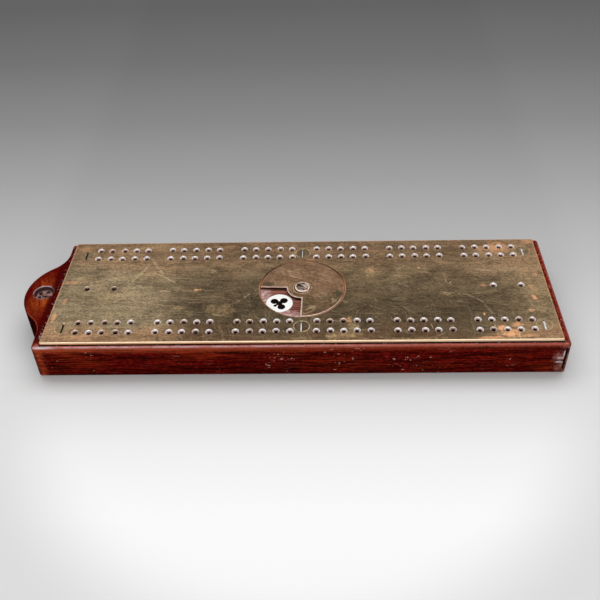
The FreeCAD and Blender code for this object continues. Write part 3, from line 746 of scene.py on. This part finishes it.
# French-polished mahogany: deep red, orange figure, worn edges with painted highlights, pale knocks
mahoganyLook = {
    "deep": (0.032, 0.0008, 0.0008),
    "red": (0.092, 0.0018, 0.0012),
    "orange": (0.29, 0.03, 0.006),
    "freckle": (0.38, 0.023, 0.011),
    "handleGlow": (0.58, 0.106, 0.02),
    "handleRed": (0.14, 0.0042, 0.0022),
    # painted highlight on the handle's rounded edge, and painted shade on its sides
    "roundEdge": (0.27, 0.013, 0.01),
    "flank": (0.022, 0.0024, 0.0018),
    "pore": (0.01, 0.0008, 0.0008),
    "worn": (0.42, 0.085, 0.045),
    "band": (0.68, 0.112, 0.038),
    # painted highlight colours for the top edges
    "edgeHighlight": (1, 0.88, 0.97),
    "redEdgeHighlight": (0.78, 0.125, 0.068),
    "bare": (0.42, 0.185, 0.145),
    "knock": (0.7, 0.36, 0.3),
    "fleck": (0.36, 0.085, 0.03),
    # painted shade with wax and dirt along the plate's edges; pale flecks and painted glints
    "wax": (0.03, 0.013, 0.014),
    "waxLight": (0.52, 0.5, 0.56),
    "seatDark": (0.1, 0.026, 0.016),
    "seatBrown": (0.33, 0.135, 0.102),
    "seatSheen": (0.66, 0.46, 0.44),
    # painted shadow and painted light inside the hanging hole
    "boreShadow": (0.095, 0.048, 0.046),
    "boreLitWall": (1, 0.66, 0.6),
    "seamShade": (0.006, 0.008, 0.01),
    "nickHighlight": (0.86, 0.9, 1),
    # degrees
    "handleGrainTurn": 74,
    # places and reaches in mm
    "woodTop": 18.9,
    "side": 39.5,
    "rightEnd": 124.2,
    "handleEnd": -125.3,
    # place along x and radius
    "hangHole": (-130.1, 4.7),
    "seatRadius": 21,
    # x, y, reach in x and y, strength, raggedness
    "glowSpots": [(-130.6, -3, 6.6, 20, 1, 0.35)],
    # the seam's middle and half width; painted highlight lines by both ends in x, height and half width
    "seam": (122.45, 0.62),
    "nickHighlightLines": [(118.9, 121.8, 9.8, 0.36), (118.6, 121.6, 7.2, 0.36), (121.45, 121.85, 12.6, 2.6)],
    # x and height on the sides, reach along and up, strength
    "seamPatch": [(121.5, 9, 4.6, 9.5, 1)],
    # the same for single knocks, for where knocks gather and for orange patches
    "knocks": [
        (-115.7, 10.1, 0.9, 0.5, 0.8), (-98.6, 13.7, 1.1, 0.5, 0.9), (-101.1, 15.5, 0.9, 0.5, 0.8),
        (-99.5, 3.5, 0.9, 0.6, 0.9), (-15.7, 6.1, 1, 0.9, 1), (-16.9, 6.8, 0.6, 0.9, 1),
        (-15.5, 4.9, 0.9, 0.6, 0.9), (-9.4, 10.5, 1, 1, 1), (-7.1, 2.2, 0.7, 0.5, 0.7),
        (-10.9, 13.5, 0.8, 0.6, 0.9), (-4.7, 10.8, 0.9, 0.6, 0.9), (-12.5, 11.3, 1.1, 0.5, 0.8),
        (17.6, 7.2, 0.6, 1.6, 1), (17.1, 13.6, 0.9, 0.6, 0.8), (15.6, 3.1, 1.2, 0.7, 0.9),
        (23.9, 10.5, 0.6, 1.4, 1), (43.1, 10, 1.4, 0.9, 0.8), (49.2, 11, 1.6, 0.7, 0.8),
        (50.9, 9.1, 0.8, 0.7, 0.8), (47.6, 2.8, 1.1, 0.6, 0.8), (57.1, 2.3, 0.7, 0.5, 0.7),
        (54.3, 11.7, 1, 0.5, 0.7), (60.1, 10.9, 0.8, 0.6, 0.8), (10.9, 14.7, 1.1, 0.5, 0.8),
        (14, 16.5, 1.4, 0.5, 0.8), (26.3, 17, 1.6, 0.6, 0.8), (97.1, 9.4, 0.8, 0.6, 0.9),
        (96.1, 5.3, 0.8, 0.5, 0.8), (64.6, 1, 0.8, 0.4, 0.6), (-58, 8, 0.8, 0.4, 0.5),
    ],
    "knockFields": [
        (-9, 10, 16, 8, 1), (17, 8, 9, 9, 0.8), (48, 8, 14, 9, 0.9), (98, 6, 6, 6, 0.7),
        (-98, 13, 8, 4, 0.6), (-120, 10, 5, 12, 0.7), (20, 16, 14, 3, 0.7), (-115, 10, 5, 3, 0.4),
    ],
    "orangeFields": [
        (-100, 13, 26, 7, 0.8), (-45, 14, 34, 5, 0.7), (-10, 15, 30, 3.5, 0.85), (113, 5.5, 9, 5.5, 0.9),
        (-105, 5, 20, 5, 0.45), (100, 13, 20, 4, 0.5), (62, 4, 12, 4, 0.3),
    ],
}


def frontFields(point, wobble, places, ragged=0.5, size=1):
    # soft patches on the upright faces, by place along x and height
    masks = []
    for x, z, reachX, reachZ, strength in places:
        spot = effect(spotAt, point, Centre=(x * mm, 0, z * mm),
            Reach=(reachX * size * mm, 10, reachZ * size * mm), Ragged=ragged, Wobble=wobble)
        masks.append(times(spot, strength))
    return strongest(*masks)


def readWood(point, look, grainTurn):
    # the patterns and masks that the parts of the wood's finish share
    wood = SimpleNamespace(look=look, point=point, plan=flatten(point), xyz=split(point))
    x, y, z = wood.xyz
    wood.onTop = fadeMm(z, look["woodTop"] - 0.5, look["woodTop"] - 0.1)
    wood.onHandle = fadeMm(x, look["handleEnd"] + 1, look["handleEnd"] - 2)
    wood.notHandle = inverse(wood.onHandle)
    wood.handleTop = times(wood.onTop, wood.onHandle)
    wood.onSides = fadeMm(calc("ABSOLUTE", y), look["side"] - 0.9, look["side"] - 0.3)
    # the handle's grain runs across it
    crosswise = turn(point, math.radians(look["handleGrainTurn"]))
    lengthwise = turn(point, math.radians(grainTurn))
    wood.along = place("Mix", {0: wood.onHandle, 4: lengthwise, 5: crosswise},
        data_type="VECTOR").outputs[1]
    wood.grain = place(woodGrain, {"Coordinates": wood.along}).outputs
    wood.cloud = blotches(lengthwise, 14, 2, 0.38, 0.66)
    wood.crumbs = blotches(lengthwise, 1.6, 1.8, 0.36, 0.68)
    wood.freckles = blotches(lengthwise, 0.75, 2.6, 0.44, 0.7)
    wood.softWobble = wobbleNoise(point, 90)
    wood.tightWobble = wobbleNoise(point, 520)
    wood.orangeFields = frontFields(point, wood.softWobble, look["orangeFields"])
    wood.nicks = effect(specks, vector("ADD", point, (0.7, 0.3, 0)), Size=0.95 * mm, Share=0.55)
    wood.gap = plus(effect(planRim, point), times(wood.tightWobble, 1 * mm))
    # distance down and in from the top edges, smooth and ragged
    fromSide = minus(look["side"] * mm, calc("ABSOLUTE", y))
    fromRight = minus(look["rightEnd"] * mm, x)
    cornerGap = strongest(calc("MINIMUM", fromSide, fromRight), 0)
    wood.fromArris = plus(cornerGap, minus(look["woodTop"] * mm, z))
    wood.raggedArris = plus(wood.fromArris, times(wood.tightWobble, 2.4 * mm))
    return wood


def woodGround(wood, look):
    # the dark red ground, its orange figure and its freckles
    x, y, z = wood.xyz
    wood.colour = mixColours(wood.grain["Fibres"], look["deep"], look["red"])
    orange = plus(times(wood.cloud, 0.22), times(wood.orangeFields, 0.75))
    coat(wood, "orange", times(wood.grain["Figure"], orange))
    coat(wood, "freckle", times(wood.freckles, fadeMm(x, -90, 110, 0.35, 0.42)))
    streaks = brushed(wood.along, 75, 1500)
    wood.colour = tint(wood.colour, fade(streaks, 0.1, 0.9, 0.38, 1.62))
    wood.colour = tint(wood.colour, fadeMm(z, 0, 13, 0.8, 1))


def woodHandle(wood, look):
    # the handle's top glows orange in the middle and is dark red along its border
    topColour = mixColours(times(wood.grain["Fibres"], 0.7), look["handleRed"], look["red"])
    glow = plus(times(wood.grain["Figure"], 0.6), times(wood.grain["Fibres"], 0.4))
    glow = times(spots(wood.point, wood.softWobble, look["glowSpots"]), glow)
    topColour = paint(topColour, look["handleGlow"], glow)
    topColour = tint(topColour, spread(wood.freckles, 0.72, 1.3))
    # the handle's sides are painted darker than the case's sides: painted shade
    coat(wood, "flank", wood.onHandle)
    coat(wood, topColour, wood.handleTop)
    # a brighter red line along the handle's rounded top edge: painted highlight
    fromRound = apart(wood.xyz[2], (look["woodTop"] - 0.6) * mm)
    onRound = times(wood.onHandle, fadeMm(fromRound, 0.6, 0.2))
    coat(wood, "roundEdge", times(onRound, spread(wood.freckles, 0.3, 0.75)))
    coat(wood, "pore", wood.grain["Pores"], 0.7)


def woodOpenings(wood, look):
    # unpolished wood under the disc and inside the hanging hole
    x, y, z = wood.xyz
    fromPivot = vector("LENGTH", wood.plan)
    inSeat = fadeMm(fromPivot, look["seatRadius"] + 0.3, look["seatRadius"])
    wood.seat = times(inSeat, fadeMm(z, 17, 17.5))
    seatColour = mixColours(wood.grain["Fibres"], look["seatDark"], look["seatBrown"])
    # a painted pinkish sheen on the outer part of the wood under the disc
    sheenShare = times(fadeMm(plus(fromPivot, times(wood.tightWobble, 8 * mm)), 14.5, 19.5),
        fade(wood.crumbs, 0.1, 0.7, 0.35, 1))
    coat(wood, paint(seatColour, look["seatSheen"], sheenShare), wood.seat)
    hangPlace, hangRadius = look["hangHole"]
    fromHang = vector("DISTANCE", wood.plan, (hangPlace * mm, 0, 0))
    wood.bore = fadeMm(fromHang, hangRadius + 0.35, hangRadius + 0.1)
    # the bore's wall: painted shadow at the top under the rim, pale bare wood with painted light lower
    # down
    boreShare = times(fade(wood.crumbs, 0.15, 0.6), fadeMm(z, 17, 15.2))
    coat(wood, mixColours(boreShare, look["boreShadow"], look["boreLitWall"]), wood.bore)
    # a painted highlight round the hole's rim, strongest on the far side
    boreRimHighlight = fadeMm(apart(fromHang, (hangRadius + 0.45) * mm), 0.34, 0.12)
    boreRimHighlight = times(boreRimHighlight, wood.handleTop, plus(wood.crumbs, 0.15), fadeMm(y, -3, 2, 0.15, 0.75))
    coat(wood, "waxLight", boreRimHighlight)


def woodEdges(wood, look):
    x, y, z = wood.xyz
    # a pale line where the handle runs into the near side: a painted highlight on the rounded edge, in the
    # worn colour
    nearLeft = times(fadeMm(y, -8, -20), fadeMm(x, -118, -124))
    turnDown = fadeMm(apart(z, (look["woodTop"] - 0.55) * mm), 0.5, 0.1)
    coat(wood, "worn", times(nearLeft, turnDown, spread(wood.crumbs, 0.25, 0.8)))
    # an orange rubbed band under the edge, which dies away towards the drawer
    band = times(fadeMm(wood.raggedArris, 4.6, 1.4), fadeMm(x, -128, 115, 0.82, 0.1))
    band = times(band, wood.notHandle, plus(times(wood.grain["Fibres"], 0.6), 0.4))
    coat(wood, "band", band)
    # worn top edges; the border beyond the plate's right end keeps most of its polish
    atDrawer = times(fadeMm(x, 121, 122.4), fadeMm(y, -39.2, -38.2))
    kept = spread(times(atDrawer, fade(wood.crumbs, 0.2, 0.8, 1, 0.5)), 1, 0.35)
    topWear = times(fadeMm(wood.raggedArris, 2.1, 0.5), wood.notHandle, kept)
    coat(wood, "worn", topWear, 0.72)
    # painted highlights, pale and broken, along the top edges
    highlightLine = times(fadeMm(wood.fromArris, 0.95, 0.45), plus(times(wood.crumbs, 0.75), 0.25))
    leftCorner = times(fadeMm(x, -112, -124), fadeMm(wood.fromArris, 1.3, 0.6))
    highlightColour = mixColours(fadeMm(x, -60, 80), look["edgeHighlight"], look["redEdgeHighlight"])
    highlightLine = times(strongest(highlightLine, leftCorner), wood.notHandle)
    coat(wood, highlightColour, highlightLine, 0.9)
    # the near left corner is rubbed all the way down
    rubbedCorner = times(fadeMm(plus(x, times(wood.tightWobble, 4 * mm)), -120.6, -124.2),
        fadeMm(y, -36.5, -39), plus(times(wood.crumbs, 0.5), 0.1))
    coat(wood, "band", times(rubbedCorner, wood.notHandle))
    foot = plus(z, times(wood.tightWobble, 1.6 * mm))
    coat(wood, "worn", fadeMm(foot, 0.9, 0.2), 0.3)


def woodKnocks(wood, look):
    # pale knocks, orange flecks and scuffs
    point = wood.point
    onFace = inverse(times(wood.handleTop, 0.8))
    shifted = vector("MULTIPLY", vector("ADD", point, (0.4, 0.1, 0.2)), (0.45, 1, 1))
    fleckShare = plus(times(wood.orangeFields, 0.2), 0.16)
    wood.flecks = effect(specks, shifted, Size=0.9 * mm, Share=fleckShare)
    coat(wood, "fleck", times(wood.flecks, onFace), 0.6)
    gather = frontFields(point, wood.softWobble, look["knockFields"])
    knocks = effect(specks, point, Size=1.15 * mm, Share=plus(times(gather, 0.3), 0.15))
    scuff = effect(hairScratches, point, Angle=0.1, Along=60, Across=320, Width=0.012, Bare=0.56)
    placed = frontFields(point, wobbleNoise(point, 1500), look["knocks"], 1.3, 0.72)
    placed = times(fade(placed, 0.25, 0.6), fadeMm(wood.xyz[1], -38, -39))
    wood.marks = strongest(times(strongest(knocks, times(scuff, 0.35)), onFace), placed)
    coat(wood, "knock", wood.marks, 0.62)


def woodBorder(wood, look):
    # nicks in the border at both ends of the plate; the border at the left end is darker
    x, y, z = wood.xyz
    onBorder = times(wood.onTop, fadeMm(x, -118, -120), fadeMm(x, -127.5, -125.5))
    coat(wood, "deep", onBorder, 0.45)
    nickShare = times(fadeMm(wood.gap, -2.4, -1.4), fadeMm(y, 25, -25, 0.35, 1))
    coat(wood, "waxLight", times(wood.nicks, onBorder, nickShare))
    byDrawer = times(wood.onTop, fadeMm(x, 120.9, 121.5))
    coat(wood, "knock", times(wood.nicks, byDrawer), 0.6)


def woodSeam(wood, look):
    # the rubbed patch, painted highlights on the nick's edges and painted shade in the seam of the
    # drawer's end
    x, y, z = wood.xyz
    rubbed = times(frontFields(wood.point, wood.tightWobble, look["seamPatch"], 0.9), wood.onSides)
    coat(wood, "bare", times(rubbed, plus(times(wood.crumbs, 0.5), 0.45)))
    nickHighlights = []
    for fromX, toX, atZ, halfWidth in look["nickHighlightLines"]:
        inX = times(fadeMm(x, fromX - 0.2, fromX + 0.2), fadeMm(x, toX + 0.2, toX - 0.2))
        nickHighlights.append(times(inX, fadeMm(apart(z, atZ * mm), halfWidth, halfWidth * 0.4)))
    coat(wood, "nickHighlight", times(strongest(*nickHighlights), wood.onSides), 0.85)
    seamPlace, seamReach = look["seam"]
    # the seam is painted dark as shade
    seam = fadeMm(apart(x, seamPlace * mm), seamReach, seamReach * 0.75)
    seam = times(seam, wood.onSides, times(fadeMm(z, 2.4, 3), fadeMm(z, 16.6, 16)))
    coat(wood, "seamShade", seam, 0.95)


def woodWaxAndShade(wood, look):
    # wax, dirt and painted shade against the plate, with pale flecks and painted glints
    wood.wax = times(fadeMm(wood.gap, -0.6, -0.25), wood.onTop, inverse(wood.seat))
    coat(wood, paint(look["wax"], look["waxLight"], wood.nicks, 0.7), wood.wax, 0.85)


def makeMahogany(name, look, grainTurn=0):
    material, shader, point = newMaterial(name)
    wood = readWood(point, look, grainTurn)
    for finish in (woodGround, woodHandle, woodOpenings, woodEdges, woodKnocks, woodBorder, woodSeam,
            woodWaxAndShade):
        finish(wood, look)
    feed(shader, "Base Color", wood.colour)
    dull = strongest(times(wood.marks, 0.6), wood.seat, wood.bore, wood.wax)
    feed(shader, "Roughness", spread(dull, 0.27, 0.72))
    feed(shader, "Specular IOR Level", 0)
    feed(shader, "Coat Roughness", 0.2)
    feed(shader, "Coat IOR", 1.5)
    polish = times(fadeMm(wood.fromArris, 1.6, 0.4), inverse(wood.wax))
    polish = strongest(polish, times(strongest(wood.notHandle, wood.handleTop), 0.02))
    feed(shader, "Coat Weight", times(polish, inverse(strongest(wood.seat, wood.bore))))
    dents = strongest(wood.grain["Pores"], times(strongest(wood.marks, wood.flecks), 2))
    addBump(shader, minus(times(wood.grain["Fibres"], 0.5), dents), 0.05 * mm, 0.8)
    return material


mahogany = makeMahogany("frenchPolishedMahogany", mahoganyLook)
for name in ("case_body", "base_board"):
    finishNode(name, mahogany)
finishNode("drawer_facing", makeMahogany("crossGrainMahogany", mahoganyLook, 90))


# plain wood of the tray, never polished
trayLook = {
    "dark": (0.17, 0.065, 0.032),
    "light": (0.3, 0.135, 0.07),
    "figure": (0.36, 0.17, 0.09),
    "pore": (0.05, 0.018, 0.01),
    "handled": (0.11, 0.04, 0.022),
}


def makeTrayWood(name, look):
    material, shader, point = newMaterial(name)
    grain = place(woodGrain, {"Coordinates": point, "Fineness": 1.3, "Sway": 0.6}).outputs
    colour = mixColours(grain["Fibres"], look["dark"], look["light"])
    colour = paint(colour, look["figure"], grain["Figure"], 0.5)
    colour = paint(colour, look["pore"], grain["Pores"], 0.7)
    handled = blotches(point, 11, 1.4, 0.48, 0.72)
    colour = paint(colour, look["handled"], handled, 0.4)
    feed(shader, "Base Color", colour)
    feed(shader, "Roughness", spread(grain["Fibres"], 0.5, 0.64))
    addBump(shader, minus(grain["Fibres"], grain["Pores"]), 0.06 * mm, 0.8)
    return material


trayWood = makeTrayWood("trayWood", trayLook)
for name in ("drawer_front", "drawer_back", "drawer_side_left", "drawer_side_right", "drawer_floor"):
    finishNode(name, trayWood)


# bone, ebony and the red inlay: base, shade, streak, roughness and gloss
inlayLooks = {
    "bone": ((0.97, 0.97, 0.95), (0.93, 0.91, 0.86), (0.62, 0.52, 0.40), 0.32, 0.4),
    "ebony": ((0.006, 0.002, 0.001), (0.012, 0.005, 0.003), (0.03, 0.02, 0.016), 0.3, 0.02),
    "redInlay": ((0.46, 0.028, 0.022), (0.34, 0.018, 0.016), (0.2, 0.012, 0.01), 0.34, 0.2),
}


def makeInlay(name, base, shade, streak, roughness, gloss):
    material, shader, point = newMaterial(name)
    fine = brushed(point, 90, 1700)
    cloud = blotches(point, 4, 1.3, 0.4, 0.7)
    dots = effect(specks, point, Size=0.45 * mm, Share=0.2)
    colour = paint(base, shade, cloud, 0.8)
    colour = paint(colour, base, fine, 0.5)
    colour = paint(colour, streak, dots, 0.55)
    feed(shader, "Base Color", colour)
    feed(shader, "Roughness", spread(cloud, roughness, roughness + 0.12))
    feed(shader, "Specular IOR Level", gloss)
    addBump(shader, minus(fine, times(dots, 2)), 0.015 * mm, 0.7)
    return material


inlays = {name: makeInlay(name, *look) for name, look in inlayLooks.items()}
for name in nodes:
    if name.endswith("_marker") or name.startswith("bone_peg"):
        finishNode(name, inlays["bone"])
    if name.startswith("ebony_peg") or name in ("club_pip", "spade_pip"):
        finishNode(name, inlays["ebony"])
    if name in ("heart_pip", "diamond_pip"):
        finishNode(name, inlays["redInlay"])
print("wood, bone, ebony and inlay finished")


# the studio: a pale floor that darkens towards the back, two soft boxes and a grey room
studio = {
    # place along y in mm, floor grey
    "floorGreys": [
        (-600, 0.8), (-118, 1), (-85, 0.92), (-50, 0.775), (-22, 0.748), (42, 0.543), (130, 0.371),
        (206, 0.262), (303, 0.181), (416, 0.138), (900, 0.18),
    ],
    "cornerGrey": 0.76,
    "floorRadius": 4,
    "floorDrop": 0.0001,
    # height along the sky, grey
    "roomGreys": [(0, 0.30), (0.67, 0.42), (1, 0.54)],
    # place, size and power of the front and the overhead soft box
    "softBoxes": [((0, -0.64, 0.77), (2, 0.22), 2.75), ((0, 0.34, 0.92), (1.3, 0.5), 5.45)],
}


def setGreys(ramp, places):
    stops = ramp.color_ramp.elements
    while len(stops) < len(places):
        stops.new(0.5)
    for index, (where, grey) in enumerate(places):
        stops[index].position = where
        stops[index].color = (grey, grey, grey, 1)


def makeFloor(look):
    bpy.ops.mesh.primitive_circle_add(vertices=96, radius=look["floorRadius"], fill_type="NGON",
        location=(0, 0, -look["floorDrop"]))
    floor = bpy.context.active_object
    floor.name = "studioFloor"
    material, shader, point = newMaterial("studioFloorPaper")
    x, y = split(point)[:2]
    first, last = look["floorGreys"][0][0], look["floorGreys"][-1][0]
    # the floor's greys paint the fall-off of the light, darker towards the back
    share = place("MapRange", {"Value": y, "From Min": first * mm, "From Max": last * mm})
    ramp = place("ValToRGB", {"Fac": share.outputs[0]})
    setGreys(ramp, [((where - first) / (last - first), grey) for where, grey in look["floorGreys"]])
    # the corners in front are a little darker than the middle: a painted pool of light
    grey = place("SeparateColor", {0: ramp.outputs[0]}).outputs[0]
    corner = greyColour(calc("MINIMUM", grey, look["cornerGrey"]))
    fromGlow = vector("DISTANCE", point, (0, -40 * mm, 0))
    seen = paint(corner, ramp.outputs[0], fadeMm(fromGlow, 152, 104))
    # a soft shade on the floor by both ends
    byEnds = times(fadeMm(calc("ABSOLUTE", x), 162, 134), fadeMm(y, -45, -37))
    seen = paint(seen, (0, 0, 0), byEnds, 0.05)
    # painted fall-off of the light far from the object
    seen = paint(seen, (0.3, 0.3, 0.3), fade(vector("LENGTH", point), 1, 3.4))
    # what the object mirrors is a plainer, slightly darker floor
    mirrored = mixColours(0.25, corner, (0.55, 0.55, 0.55))
    fromCamera = place("LightPath", {}, shader.id_data).outputs["Is Camera Ray"]
    feed(shader, "Base Color", mixColours(fromCamera, mirrored, seen))
    feed(shader, "Roughness", 1)
    feed(shader, "Specular IOR Level", 0)
    floor.data.materials.append(material)


def makeRoom(look):
    room = bpy.data.worlds.new("greyRoom")
    room.use_nodes = True
    tree = room.node_tree
    up = split(place("TexCoord", {}, tree).outputs["Generated"])[2]
    ramp = place("ValToRGB", {"Fac": up})
    setGreys(ramp, look["roomGreys"])
    feed(tree.nodes["Background"], "Color", ramp.outputs[0])
    bpy.context.scene.world = room


def makeSoftBoxes(look):
    for where, size, watts in look["softBoxes"]:
        light = bpy.data.lights.new("softBox", "AREA")
        light.shape = "RECTANGLE"
        light.size, light.size_y = size
        light.energy = watts
        lamp = bpy.data.objects.new("softBox", light)
        bpy.context.scene.collection.objects.link(lamp)
        lamp.location = where
        lamp.rotation_euler = (math.atan2(-where[1], where[2]), 0, 0)


makeFloor(studio)
makeRoom(studio)
makeSoftBoxes(studio)

# the camera looks down from the near long side
view = {
    "place": (0.00992, -0.30469, 0.28097),
    "turn": (48.6086, 1.4518, 0.8433),
    "lens": 48.3806,
}
camera = bpy.data.objects.new("camera", bpy.data.cameras.new("camera"))
camera.data.lens = view["lens"]
camera.data.sensor_width = 36
camera.data.clip_start = 0.01
camera.location = view["place"]
camera.rotation_euler = [math.radians(angle) for angle in view["turn"]]
bpy.context.scene.collection.objects.link(camera)
bpy.context.scene.camera = camera
bpy.context.scene.view_settings.view_transform = "Standard"
print("studio and camera ready")
